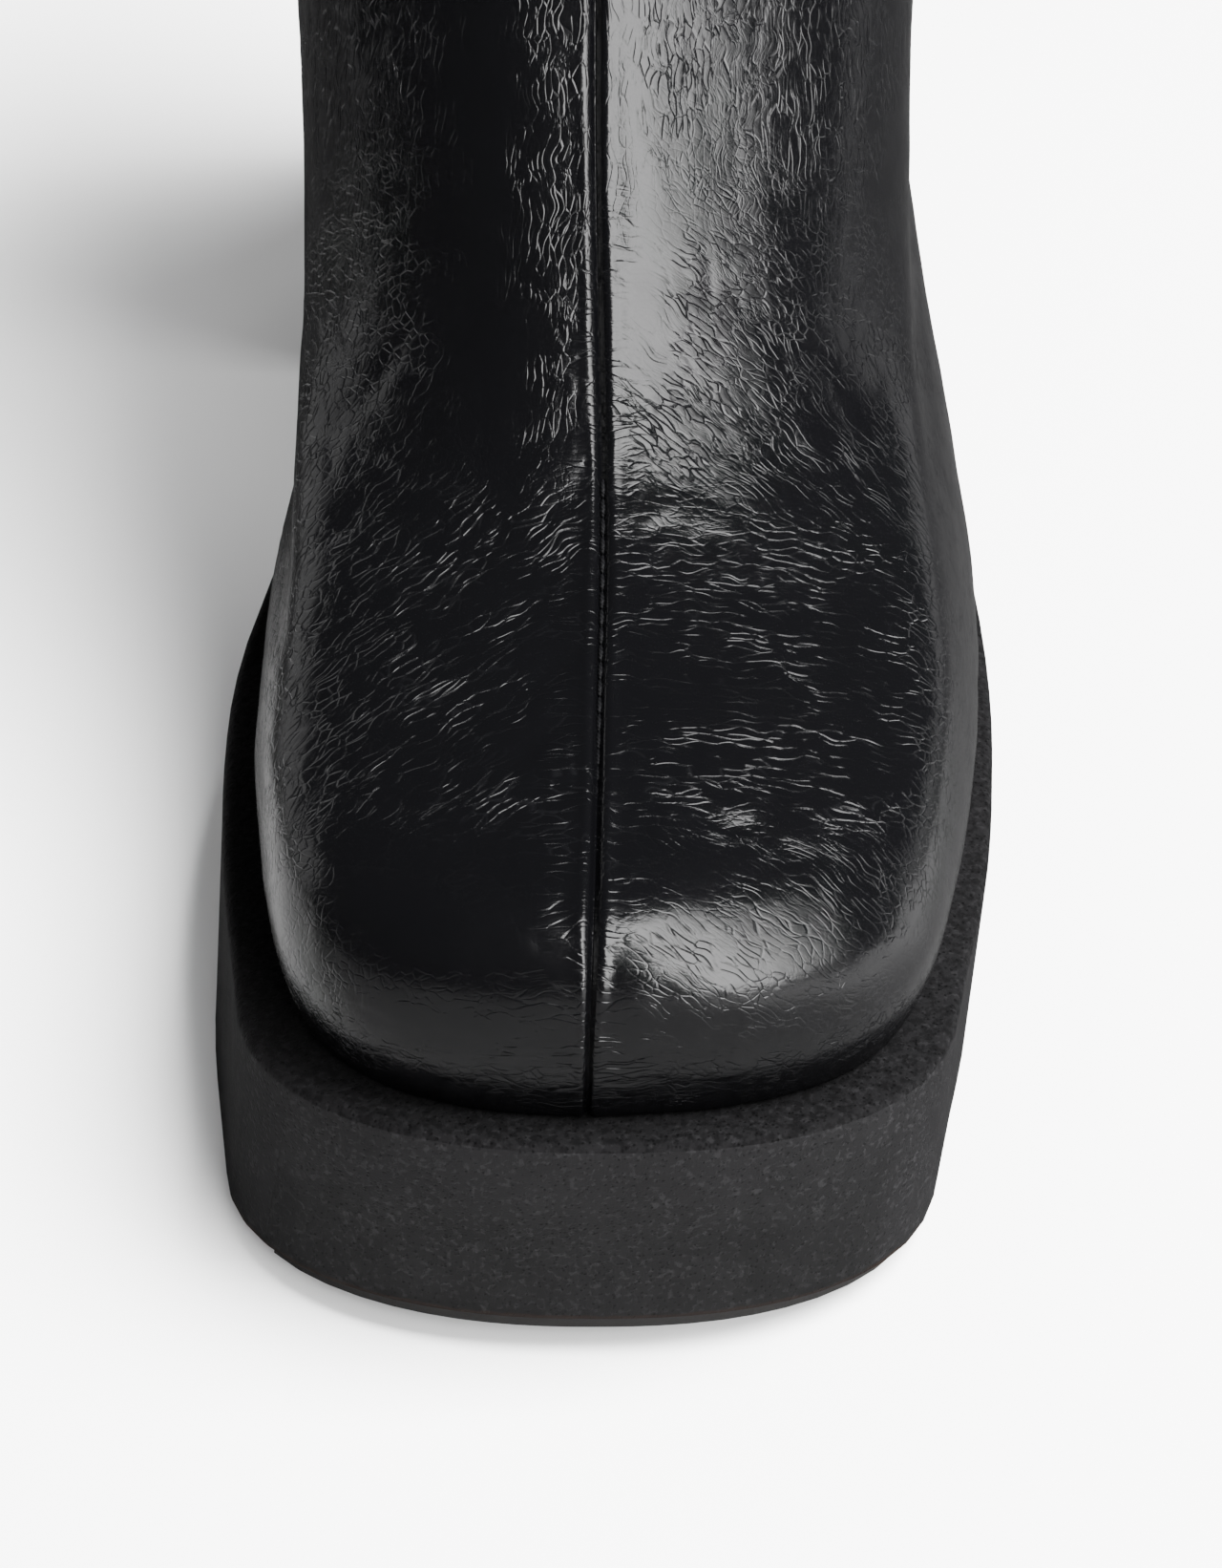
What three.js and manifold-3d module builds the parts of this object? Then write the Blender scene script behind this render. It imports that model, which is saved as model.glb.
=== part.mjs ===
// Platform boot, left foot: a hollow square-toed upper on a foam platform with a block heel.
// Millimetres, +Z up. Toe towards -Y, heel towards +Y, outer (lateral) side towards +X.
// "back" is the distance behind the tip of the sole, "height" is measured from the floor.

import * as THREE from 'three';
import { mergeVertices } from 'three/addons/utils/BufferGeometryUtils.js';
import Module from 'manifold-3d';

const wasm = await Module();
wasm.setup();

// ---- driving dimensions -------------------------------------------------------------------

const SOLE_LENGTH = 262; // tip of the platform to back of the heel, size EU 38
const PLATFORM = 30.5; // foam under the forefoot
const TREAD = 2.5; // rubber under the platform
const TOE_SPRING = 4.5; // rise of the tip above the floor
const SPRING_END = 46; // the forefoot is flat behind this
const HEEL_PITCH = 55; // heel seat above the forefoot ledge
const PITCH_START = 84; // the waist rises from here
const PITCH_END = 194; // to here
const LEDGE = { inner: 8.6, outer: 5.5 }; // platform standing out beside the upper
const FLARE = { front: 0.6, inner: 1.8, outer: -0.3 }; // the foot of the wall stands out this far
const WALL = 2.0; // leather and lining of the upper
const GAP = 0.3; // glue line between neighbouring pieces
const SEAT_GAP = 0.5; // the same over the curved seat, where facets take up some of it
const INSOLE = 3.0;
const SEAT = 9.0; // foam left above the arch and the heel
const PLATFORM_END = 112; // rear edge of the platform on the floor
const COVE = 40; // length of the hollow behind the platform
const HEEL_FRONT = 196; // front face of the heel block at the floor
const HEEL_FRONT_TOP = 186; // and under the seat
const TOP_PIECE = 5.5; // rubber under the heel
const TREAD_INSET = 1.2; // rubber stands back from the foam wall
const HEEL_AXIS = 2.0; // the heel is centred this far to the outer side
const AXIS_START = 120; // the axis leaves the toe's line here
const AXIS_RUN = 100; // and has moved over after this length
const HEEL_HOLLOW = 3.0; // the front face of the heel is hollowed this much
const COUNTER_SQUARE = 2.05; // squareness of the upper's rounded rear
const GROOVE = { width: 3.4, depth: 1.5, pitch: 8.6 };
const FRONT_GROOVES = { first: 14, last: 98 };
const HEEL_GROOVES = { first: 204, last: 250 };

const SIDE_POINTS = 30; // mesh columns on each side of the upper
const SOLE_POINTS = 56; // mesh columns on each side of the sole
const LEVEL_STEPS = 2; // mesh rows between two rows of the section table
const DENSE = 240; // steps used to measure along an outline
const TOE_CROWDING = 1.22; // above 1 the mesh columns stand closer together at the toe
const BEYOND = 6; // cutting outlines end this far outside the sole
const BELOW = -4; // and this far under the floor
const CUT_TOP = 140; // and above the heel seat
const CUT_WIDTH = 140;

const SIGN = { inner: -1, outer: 1 }; // medial side is -X, lateral side +X

// Half widths of the platform from the toe axis, before the toe and heel are rounded off, and
// how far the inner wall leans in on its way up to the ledge.
const SOLE_WIDTHS = [
  { back: 0, inner: 41.6, outer: 40.6, lean: 1.5 },
  { back: 26, inner: 44.0, outer: 44.9, lean: 1.5 },
  { back: 50, inner: 46.8, outer: 50.4, lean: 1.3 },
  { back: 72, inner: 46.8, outer: 53.2, lean: 0.2 },
  { back: 90, inner: 45.6, outer: 54.1, lean: 0.0 },
  { back: 104, inner: 41.6, outer: 52.8, lean: 0.0 },
  { back: 122, inner: 35.6, outer: 49.0, lean: 0.0 },
  { back: 144, inner: 31.4, outer: 43.2, lean: 0.0 },
  { back: 168, inner: 29.4, outer: 38.2, lean: 0.0 },
  { back: 194, inner: 29.6, outer: 35.4, lean: 0.0 },
  { back: 220, inner: 30.4, outer: 34.4, lean: 0.0 },
  { back: 262, inner: 30.6, outer: 34.2, lean: 0.0 },
];
const SOLE_ROUND = { toe: 26, inner: 2.2, outer: 2.45, heel: 34, heelSquare: 2.1 };

// Half widths of the shaft from the same axis.
const SHAFT_WIDTH = { inner: 38.6, outer: 40.6 };

// Closed sections of the upper, from the feather line to the collar.
//   front, rise      foremost point: distance back, height above the forefoot ledge
//   rear, lift       rearmost point: distance back, height above the heel seat
//   straight         0 follows the seat curve, 1 runs straight from front to rear
const PROFILE = [
  { front: 5.6, rise: 0.0, rear: 256.5, lift: 0.0, straight: 0.0 },
  { front: 4.2, rise: 6.0, rear: 258.4, lift: 8.0, straight: 0.0 },
  { front: 4.0, rise: 13.0, rear: 259.2, lift: 17.0, straight: 0.0 },
  { front: 5.4, rise: 20.0, rear: 259.2, lift: 26.0, straight: 0.0 },
  { front: 10.2, rise: 26.8, rear: 258.6, lift: 35.0, straight: 0.0 },
  { front: 20.4, rise: 32.0, rear: 257.6, lift: 45.0, straight: 0.03 },
  { front: 41.0, rise: 38.4, rear: 256.2, lift: 56.0, straight: 0.08 },
  { front: 61.0, rise: 45.8, rear: 254.8, lift: 68.0, straight: 0.16 },
  { front: 75.0, rise: 58.0, rear: 253.6, lift: 81.0, straight: 0.3 },
  { front: 93.0, rise: 81.0, rear: 252.6, lift: 97.0, straight: 0.5 },
  { front: 112.0, rise: 108.0, rear: 252.0, lift: 113.0, straight: 0.75 },
  { front: 129.0, rise: 136.0, rear: 252.2, lift: 129.0, straight: 1.0 },
  { front: 140.0, rise: 164.0, rear: 253.0, lift: 142.0, straight: 1.0 },
  { front: 145.0, rise: 190.0, rear: 254.2, lift: 152.0, straight: 1.0 },
  { front: 146.5, rise: 215.0, rear: 255.0, lift: 160.0, straight: 1.0 },
];

// Plan of the same sections, row by row.
//   toe, square      length and squareness of the rounded front
//   heel             length of the rounded rear
//   swell, flank     how far the forefoot and the rear half stand out from the feather line
//   shaft            share of the shaft's own width
//   aside            how far the section stands to the outer side
const PLAN = [
  { toe: 23, square: 2.35, heel: 30, swell: 0.0, flank: 0.0, shaft: 0.0, aside: 0.0 },
  { toe: 23, square: 2.4, heel: 31, swell: 1.8, flank: 1.8, shaft: 0.0, aside: 0.0 },
  { toe: 24, square: 2.4, heel: 32, swell: 2.7, flank: 2.8, shaft: 0.02, aside: -0.1 },
  { toe: 26, square: 2.4, heel: 33, swell: 2.0, flank: 3.3, shaft: 0.05, aside: -0.4 },
  { toe: 31, square: 2.35, heel: 35, swell: 0.5, flank: 3.5, shaft: 0.1, aside: -0.6 },
  { toe: 40, square: 2.25, heel: 37, swell: -2.0, flank: 3.6, shaft: 0.2, aside: -0.2 },
  { toe: 50, square: 2.15, heel: 40, swell: -3.9, flank: 4.0, shaft: 0.46, aside: -1.0 },
  { toe: 58, square: 2.1, heel: 43, swell: -4.0, flank: 4.6, shaft: 0.74, aside: -0.5 },
  { toe: 62, square: 2.1, heel: 46, swell: -2.3, flank: 3.5, shaft: 0.95, aside: 0.5 },
  { toe: 62, square: 2.1, heel: 49, swell: 0.0, flank: 2.0, shaft: 1.0, aside: 0.3 },
  { toe: 60, square: 2.1, heel: 52, swell: 0.0, flank: 0.0, shaft: 1.0, aside: 0.2 },
  { toe: 57, square: 2.05, heel: 54, swell: 0.0, flank: 0.0, shaft: 1.0, aside: 0.1 },
  { toe: 55, square: 2.0, heel: 54, swell: 0.0, flank: 0.0, shaft: 1.0, aside: 0.0 },
  { toe: 54, square: 2.0, heel: 54, swell: 0.0, flank: 0.0, shaft: 1.0, aside: 0.0 },
  { toe: 54, square: 2.0, heel: 54, swell: 0.0, flank: 0.0, shaft: 1.0, aside: 0.0 },
];

// ---- curves -------------------------------------------------------------------------------

function smooth(t) {
  const c = THREE.MathUtils.clamp(t, 0, 1);
  return c * c * (3 - 2 * c);
}

// Cubic through evenly numbered values, with the slope at each taken from its neighbours.
function cubic(values, t) {
  const last = values.length - 1;
  const i = Math.min(Math.floor(t), last - 1);
  const f = t - i;
  const slope = (k) => (values[Math.min(k + 1, last)] - values[Math.max(k - 1, 0)]) / 2;
  const a = values[i];
  const b = values[i + 1];
  const up = f * f * (3 - 2 * f);
  return a + (b - a) * up + slope(i) * f * (1 - f) * (1 - f) - slope(i + 1) * f * f * (1 - f);
}

// Value of one column of a table at a distance back, by cubics with secant slopes.
function column(table, name, back) {
  const last = table.length - 1;
  const at = THREE.MathUtils.clamp(back, table[0].back, table[last].back);
  let i = 0;
  while (i < last - 1 && at > table[i + 1].back) i += 1;
  const slope = (k) => {
    const p = table[Math.max(k - 1, 0)];
    const q = table[Math.min(k + 1, last)];
    return (q[name] - p[name]) / (q.back - p.back);
  };
  const span = table[i + 1].back - table[i].back;
  const f = (at - table[i].back) / span;
  const a = table[i][name];
  const b = table[i + 1][name];
  const up = f * f * (3 - 2 * f);
  const ease = slope(i) * f * (1 - f) * (1 - f) - slope(i + 1) * f * f * (1 - f);
  return a + (b - a) * up + ease * span;
}

// Share of the full half width at a distance from a rounded end.
function roundOff(distance, length, square) {
  const t = THREE.MathUtils.clamp(distance / length, 0, 1);
  return (1 - (1 - t) ** square) ** (1 / square);
}

function spring(back) {
  return TOE_SPRING * Math.max(0, 1 - back / SPRING_END) ** 2;
}

function seatShare(back) {
  return smooth((back - PITCH_START) / (PITCH_END - PITCH_START));
}

// Height of the platform's ledge, which is the floor of the upper.
function ledge(back) {
  return TREAD + PLATFORM + spring(back) + HEEL_PITCH * seatShare(back);
}

function axis(back) {
  return HEEL_AXIS * smooth((back - AXIS_START) / AXIS_RUN);
}

// Points along one side from front to rear, spread by distance and closer together at the toe.
function spread(side, shape, count) {
  const { front, rear } = shape;
  const dense = [];
  const lengths = [0];
  for (let k = 0; k <= DENSE; k += 1) {
    const back = front + ((rear - front) * (1 - Math.cos((Math.PI * k) / DENSE))) / 2;
    dense.push(new THREE.Vector2(shape.across(side, back), back));
    if (k > 0) lengths.push(lengths[k - 1] + dense[k].distanceTo(dense[k - 1]));
  }
  const points = [];
  let k = 0;
  for (let i = 0; i <= count; i += 1) {
    const wanted = lengths[DENSE] * (i / count) ** TOE_CROWDING;
    while (k < DENSE - 1 && lengths[k + 1] < wanted) k += 1;
    const f = Math.min((wanted - lengths[k]) / (lengths[k + 1] - lengths[k]), 1);
    points.push(dense[k].clone().lerp(dense[k + 1], f));
  }
  return points;
}

// A closed loop: down the outer side from toe to heel and up the inner side again.
function loop(shape, count) {
  const outer = spread('outer', shape, count);
  const inner = spread('inner', shape, count);
  const flat = [...outer, ...inner.slice(1, -1).reverse()];
  return flat.map((p) => new THREE.Vector3(p.x, p.y - SOLE_LENGTH / 2, shape.height(p.y)));
}

// Plan of the sole, grown or (below zero) drawn in by a margin at its ends and on each side.
// "lean" is 1 at the ledge and 0 at the foot of the wall.
function soleShape(margin, height, sides = { inner: margin, outer: margin }, lean = 1) {
  const front = -margin;
  const rear = SOLE_LENGTH + margin;
  const across = (side, back) => {
    const toe = roundOff(back - front, SOLE_ROUND.toe, SOLE_ROUND[side]);
    const heel = roundOff(rear - back, SOLE_ROUND.heel, SOLE_ROUND.heelSquare);
    const leant = side === 'inner' ? lean * column(SOLE_WIDTHS, 'lean', back) : 0;
    const wide = column(SOLE_WIDTHS, side, back) + sides[side] - leant;
    const full = SIGN[side] * wide - axis(back);
    return axis(back) + full * toe * heel;
  };
  return { front, rear, across, height };
}

// One section of the upper at a level counted in rows of the table.
function upperShape(level) {
  const row = {};
  for (const table of [PROFILE, PLAN]) {
    for (const name of Object.keys(table[0])) {
      row[name] = cubic(table.map((section) => section[name]), level);
    }
  }
  const base = TREAD + PLATFORM + SEAT_GAP + row.rise;
  const climb = HEEL_PITCH + row.lift - row.rise;
  const started = seatShare(row.front);
  const across = (side, back) => {
    const stand = THREE.MathUtils.lerp(row.swell, row.flank, seatShare(back));
    const low = column(SOLE_WIDTHS, side, back) - LEDGE[side] + stand;
    const wide = THREE.MathUtils.lerp(low, SHAFT_WIDTH[side], row.shaft);
    const full = SIGN[side] * wide - axis(back);
    const toe = roundOff(back - row.front, row.toe, row.square);
    const heel = roundOff(row.rear - back, row.heel, COUNTER_SQUARE);
    return axis(back) + full * toe * heel + row.aside * toe * heel;
  };
  const height = (back) => {
    const line = (back - row.front) / (row.rear - row.front);
    const seat = (seatShare(back) - started) / (1 - started);
    return base + climb * THREE.MathUtils.lerp(seat, line, row.straight) + spring(back);
  };
  return { front: row.front, rear: row.rear, across, height };
}

// ---- solids -------------------------------------------------------------------------------

function geometryOf(points, triangles) {
  const geometry = new THREE.BufferGeometry();
  const flat = points.flatMap((p) => [p.x, p.y, p.z]);
  geometry.setAttribute('position', new THREE.Float32BufferAttribute(flat, 3));
  geometry.setIndex(triangles);
  return geometry;
}

// Triangles between two neighbouring loops, facing out when the loops rise and run as loop() does.
function band(low, high, count) {
  const triangles = [];
  for (let i = 0; i < count; i += 1) {
    const j = (i + 1) % count;
    triangles.push(low + i, low + j, high + j, low + i, high + j, high + i);
  }
  return triangles;
}

// A flat lid across a loop, in strips between its outer and inner side.
function lid(start, side, up) {
  const count = side * 2;
  const triangles = [];
  const add = (a, b, c) => triangles.push(start + a, start + (up ? b : c), start + (up ? c : b));
  add(0, 1, count - 1);
  for (let i = 1; i < side - 1; i += 1) {
    add(i, i + 1, count - i);
    add(i + 1, count - i - 1, count - i);
  }
  add(side - 1, side, side + 1);
  return triangles;
}

// A solid between stacked loops.
function stack(loops, side) {
  const count = side * 2;
  const triangles = lid(0, side, false);
  for (let k = 0; k + 1 < loops.length; k += 1) {
    triangles.push(...band(k * count, (k + 1) * count, count));
  }
  triangles.push(...lid((loops.length - 1) * count, side, true));
  return geometryOf(loops.flat(), triangles);
}

function solid(geometry) {
  const bare = geometry.clone();
  bare.deleteAttribute('normal');
  bare.deleteAttribute('uv');
  const merged = mergeVertices(bare, 1e-4);
  return new wasm.Manifold(new wasm.Mesh({
    numProp: 3,
    vertProperties: new Float32Array(merged.attributes.position.array),
    triVerts: new Uint32Array(merged.index.array),
  }));
}

function geometryFrom(manifold) {
  const mesh = manifold.getMesh();
  const geometry = new THREE.BufferGeometry();
  geometry.setAttribute('position', new THREE.Float32BufferAttribute(mesh.vertProperties, 3));
  geometry.setIndex(Array.from(mesh.triVerts));
  return geometry;
}

// A slab as wide as the boot whose side view is the given outline of [back, height] corners.
function sideSlab(corners) {
  const shape = new THREE.Shape(corners.map(([back, height]) => new THREE.Vector2(back, height)));
  const geometry = new THREE.ExtrudeGeometry(shape, { depth: CUT_WIDTH, bevelEnabled: false });
  geometry.rotateX(Math.PI / 2);
  geometry.rotateZ(Math.PI / 2);
  geometry.translate(-CUT_WIDTH / 2, -SOLE_LENGTH / 2, 0);
  return solid(geometry);
}

// Corners along a curve of height over distance back.
function trace(from, to, steps, height) {
  const corners = [];
  for (let i = 0; i <= steps; i += 1) {
    const back = THREE.MathUtils.lerp(from, to, i / steps);
    corners.push([back, height(back)]);
  }
  return corners;
}

// The sole as if it were one block, ready to be cut by side views.
function soleBlank(margin) {
  const foot = margin + FLARE.front;
  const sides = { inner: margin + FLARE.inner, outer: margin + FLARE.outer };
  const loops = [
    loop(soleShape(foot, () => BELOW, sides, 0), SOLE_POINTS),
    loop(soleShape(margin, ledge), SOLE_POINTS),
  ];
  return solid(stack(loops, SOLE_POINTS));
}

function cut(blank, corners) {
  return blank.intersect(sideSlab(corners));
}

// ---- pieces -------------------------------------------------------------------------------

function makeUpper() {
  const rows = (PROFILE.length - 1) * LEVEL_STEPS;
  const count = SIDE_POINTS * 2;
  const outside = [];
  for (let k = 0; k <= rows; k += 1) {
    outside.push(loop(upperShape(k / LEVEL_STEPS), SIDE_POINTS));
  }
  const inside = outside.map((ring, k) => ring.map((point, i) => {
    const along = ring[(i + 1) % count].clone().sub(ring[(i + count - 1) % count]);
    const up = outside[Math.min(k + 1, rows)][i].clone().sub(outside[Math.max(k - 1, 0)][i]);
    const inward = up.cross(along).normalize();
    const moved = point.clone().addScaledVector(inward, WALL);
    if (k === 0 || k === rows) moved.z = point.z;
    return moved;
  }));
  const triangles = [];
  for (let k = 0; k < rows; k += 1) {
    triangles.push(...band(k * count, (k + 1) * count, count));
  }
  const first = (rows + 1) * count;
  for (let k = rows; k > 0; k -= 1) {
    triangles.push(...band(first + k * count, first + (k - 1) * count, count));
  }
  triangles.push(...band(rows * count, first + rows * count, count));
  triangles.push(...band(first, 0, count));
  return geometryOf([...outside, ...inside].flat(), triangles);
}

// Underside of the foam behind the platform: one concave sweep from the floor to the waist.
function archCorners() {
  const end = PLATFORM_END + COVE;
  const cove = trace(PLATFORM_END, end, 12, (back) => {
    const share = (back - PLATFORM_END) / COVE;
    const rise = (1 - (1 - share) ** 3) ** (1 / 3);
    return THREE.MathUtils.lerp(TREAD + GAP, ledge(back) - SEAT, rise);
  });
  return [...cove, ...trace(end + 4, SOLE_LENGTH + BEYOND, 26, (back) => ledge(back) - SEAT)];
}

function makeMidsole() {
  const under = trace(-BEYOND, PLATFORM_END - 3, 22, (back) => TREAD + GAP + spring(Math.max(back, 0)));
  const corners = [...under, ...archCorners(), [SOLE_LENGTH + BEYOND, CUT_TOP], [-BEYOND, CUT_TOP]];
  return geometryFrom(cut(soleBlank(0), corners));
}

function makeHeelBlock() {
  const top = trace(SOLE_LENGTH + BEYOND, HEEL_FRONT_TOP, 14, (back) => ledge(back) - SEAT - GAP);
  const front = [];
  for (let i = 1; i < 7; i += 1) {
    const t = i / 7;
    const hollow = HEEL_HOLLOW * Math.sin(Math.PI * t);
    const high = ledge(HEEL_FRONT_TOP) - SEAT - GAP;
    const back = THREE.MathUtils.lerp(HEEL_FRONT_TOP, HEEL_FRONT, t) + hollow;
    front.push([back, THREE.MathUtils.lerp(high, TOP_PIECE + GAP, t)]);
  }
  const bottom = [[HEEL_FRONT, TOP_PIECE + GAP], [SOLE_LENGTH + BEYOND, TOP_PIECE + GAP]];
  return geometryFrom(cut(soleBlank(0), [...top, ...front, ...bottom]));
}

// Grooves across a tread, one pitch apart.
function grooved(manifold, grooves) {
  let left = manifold;
  for (let back = grooves.first; back <= grooves.last; back += GROOVE.pitch) {
    const low = spring(back + GROOVE.width / 2) + BELOW;
    const high = low - BELOW + GROOVE.depth;
    left = left.subtract(sideSlab([
      [back, low],
      [back + GROOVE.width, low],
      [back + GROOVE.width, high],
      [back, high],
    ]));
  }
  return left;
}

function makeFrontTread() {
  const end = PLATFORM_END - 2;
  const bottom = trace(-BEYOND, end, 22, (back) => spring(Math.max(back, 0)));
  const top = trace(end, -BEYOND, 22, (back) => TREAD + spring(Math.max(back, 0)));
  const slab = cut(soleBlank(-TREAD_INSET), [...bottom, ...top]);
  return geometryFrom(grooved(slab, FRONT_GROOVES));
}

function makeTopPiece() {
  const end = SOLE_LENGTH + BEYOND;
  const block = [[HEEL_FRONT, 0], [end, 0], [end, TOP_PIECE], [HEEL_FRONT, TOP_PIECE]];
  return geometryFrom(grooved(cut(soleBlank(-TREAD_INSET / 2), block), HEEL_GROOVES));
}

function makeInsole() {
  const margin = -(PROFILE[0].front + WALL + GAP * 3);
  const sides = { inner: -(LEDGE.inner + WALL + GAP * 3), outer: -(LEDGE.outer + WALL + GAP * 3) };
  const face = (lift) => (back) => ledge(back) + SEAT_GAP + lift;
  const low = loop(soleShape(margin, face(0), sides), SIDE_POINTS);
  const high = loop(soleShape(margin, face(INSOLE), sides), SIDE_POINTS);
  return stack([low, high], SIDE_POINTS);
}

// ---- materials ----------------------------------------------------------------------------

function patentLeather() {
  return new THREE.MeshStandardMaterial({ color: 0x0c0c0e, roughness: 0.22, metalness: 0 });
}

function foam() {
  return new THREE.MeshStandardMaterial({ color: 0x262628, roughness: 0.85, metalness: 0 });
}

function rubber() {
  return new THREE.MeshStandardMaterial({ color: 0x1a1816, roughness: 0.7, metalness: 0 });
}

function insoleCloth() {
  return new THREE.MeshStandardMaterial({ color: 0x1b1b1c, roughness: 0.9, metalness: 0 });
}

// ---- boot ---------------------------------------------------------------------------------

function part(name, geometry, material) {
  const mesh = new THREE.Mesh(geometry, material);
  mesh.name = name;
  return mesh;
}

function buildBoot() {
  const boot = new THREE.Group();
  boot.add(part('upper', makeUpper(), patentLeather()));
  boot.add(part('platform_midsole', makeMidsole(), foam()));
  boot.add(part('heel_block', makeHeelBlock(), foam()));
  boot.add(part('front_tread', makeFrontTread(), rubber()));
  boot.add(part('heel_top_piece', makeTopPiece(), rubber()));
  boot.add(part('insole', makeInsole(), insoleCloth()));
  const box = new THREE.Box3().setFromObject(boot);
  const centre = box.getCenter(new THREE.Vector3());
  boot.position.set(-centre.x, -centre.y, -box.min.z);
  return boot;
}

const group = new THREE.Group();
group.add(buildBoot());

export default group;
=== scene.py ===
"""Platform boot: creased patent upper with a front seam, on a foam platform and block heel."""

import math

import bmesh
import bpy
from bpy.props import FloatProperty, FloatVectorProperty, IntProperty, PointerProperty
from mathutils import Matrix, Vector, noise


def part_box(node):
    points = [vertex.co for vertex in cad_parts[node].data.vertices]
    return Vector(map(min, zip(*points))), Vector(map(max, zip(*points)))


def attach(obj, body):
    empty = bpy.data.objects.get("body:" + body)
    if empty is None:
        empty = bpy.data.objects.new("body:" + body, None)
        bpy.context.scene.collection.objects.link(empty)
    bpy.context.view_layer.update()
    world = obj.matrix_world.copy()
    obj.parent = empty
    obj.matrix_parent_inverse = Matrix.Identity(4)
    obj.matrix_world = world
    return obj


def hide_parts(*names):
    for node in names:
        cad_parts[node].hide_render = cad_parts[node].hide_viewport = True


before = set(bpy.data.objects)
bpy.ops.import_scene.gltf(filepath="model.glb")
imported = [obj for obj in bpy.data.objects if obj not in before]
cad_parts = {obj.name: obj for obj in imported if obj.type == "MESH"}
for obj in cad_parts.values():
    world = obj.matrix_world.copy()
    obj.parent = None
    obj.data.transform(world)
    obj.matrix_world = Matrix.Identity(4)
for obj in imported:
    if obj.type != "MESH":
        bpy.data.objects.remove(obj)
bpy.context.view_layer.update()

bl_info = {
    "name": "Platform Boot",
    "version": (1, 0, 0),
    "blender": (4, 5, 0),
    "location": "3D View > Sidebar > Boot",
    "description": "Builds a square-toed platform boot around its packed frame",
    "category": "Object",
}

WELD = 2e-6                  # vertices closer than this are one vertex
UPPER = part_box("upper")
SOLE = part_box("platform_midsole")
TIP = SOLE[0][1]             # foremost point of the platform
FEATHER = UPPER[0][2]        # height of the line where upper meets sole, at the ball
COLLAR = UPPER[1][2]         # height of the collar
SEAM = -0.0029               # the plane of the front and back seams
CREASE_SEED = 1              # fixes how the folds wander, so every run gives the same leather
FRONT_END = 0.03             # the front seam's roll reaches back to here
SPRING_END = 0.046           # the platform curves up in front of this distance behind its tip
SPRING_RISE = 0.0045         # and its tip stands this high
SHIN_SWELL = 0.00110         # gentle swell of the leather beside the seam on the shaft
TOE_SWELL = 0.00085          # and on the toe
SEAM_SHIFT = 0.0012          # the front seam strays this far to the outer side at the instep
SEAM_RETURN = 0.0006         # and this far to the inner side at the toe
SEAM_CUTS = (0.00030, 0.0007, 0.0013)    # rows of vertices this far from the front seam
FRONT_STITCHES = (33.0, 80.0)            # the front seam's stitches start and end here, in mm
STITCH_DEPTH = 0.00068       # depth of the front seam's stitches below the leather
BINDING_DROP = 0.0055        # the binding reaches this far down from the collar
BINDING_EDGE = 0.0012        # and starts to turn over this far below it
BINDING_STITCHES = 0.0042    # its stitches are this far below it
STAGE_AIM = (0.0, -0.04, 0.09)           # the lights point here


class BootSettings(bpy.types.PropertyGroup):
    """Sizes and colours that a maker would change."""

    leather_thickness: FloatProperty(
        name="Leather thickness", description="Thickness of the upper leather",
        default=0.0010, min=0.0004, unit="LENGTH")
    lining_thickness: FloatProperty(
        name="Lining thickness", description="Thickness of the lining inside the leather",
        default=0.0007, min=0.0003, unit="LENGTH")
    seam_depth: FloatProperty(
        name="Seam depth",
        description="How far the front seam sinks below the leather beside it",
        default=0.0010, min=0.0, unit="LENGTH")
    roll_width: FloatProperty(
        name="Seam roll", description="Distance from the seam over which the leather rolls in",
        default=0.00062, min=0.0003, unit="LENGTH")
    crease_depth: FloatProperty(
        name="Main crease depth", description="Depth of the deepest creases",
        default=0.00055, min=0.0, unit="LENGTH")
    crinkle_depth: FloatProperty(
        name="Crinkle depth", description="Depth of the fine creases all over the leather",
        default=0.000080, min=0.0, unit="LENGTH")
    stitch_pitch: FloatProperty(
        name="Stitch pitch", description="Distance from one stitch to the next",
        default=0.0024, min=0.0008, unit="LENGTH")
    shoulder: FloatProperty(
        name="Platform shoulder", description="Rounding of the platform's upper edge",
        default=0.0013, min=0.0002, unit="LENGTH")
    edge_line: FloatProperty(
        name="Edge line", description="Height of the dark line along the platform's lower edge",
        default=0.0003, min=0.0, unit="LENGTH")
    smoothing: IntProperty(
        name="Smoothing", description="Subdivision levels of the upper before its creases",
        default=2, min=1, max=3)
    leather_colour: FloatVectorProperty(
        name="Leather", description="Colour under the gloss of the upper",
        default=(0.0010, 0.0010, 0.0012), subtype="COLOR", min=0.0, max=1.0)
    foam_colour: FloatVectorProperty(
        name="Foam", description="Colour of the platform and heel",
        default=(0.0036, 0.0035, 0.0037), subtype="COLOR", min=0.0, max=1.0)
    rubber_colour: FloatVectorProperty(
        name="Rubber", description="Colour of the treads",
        default=(0.0048, 0.0042, 0.0039), subtype="COLOR", min=0.0, max=1.0)
    edge_colour: FloatVectorProperty(
        name="Edge line colour", description="Colour of the line along the lower edge",
        default=(0.0085, 0.0050, 0.0038), subtype="COLOR", min=0.0, max=1.0)
    cloth_colour: FloatVectorProperty(
        name="Cloth", description="Colour of the lining and the footbed",
        default=(0.014, 0.014, 0.015), subtype="COLOR", min=0.0, max=1.0)
    thread_colour: FloatVectorProperty(
        name="Thread", description="Colour of the stitches",
        default=(0.0016, 0.0016, 0.0018), subtype="COLOR", min=0.0, max=1.0)
    floor_colour: FloatVectorProperty(
        name="Floor", description="Colour of the studio floor",
        default=(0.90, 0.90, 0.90), subtype="COLOR", min=0.0, max=1.0)


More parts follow.
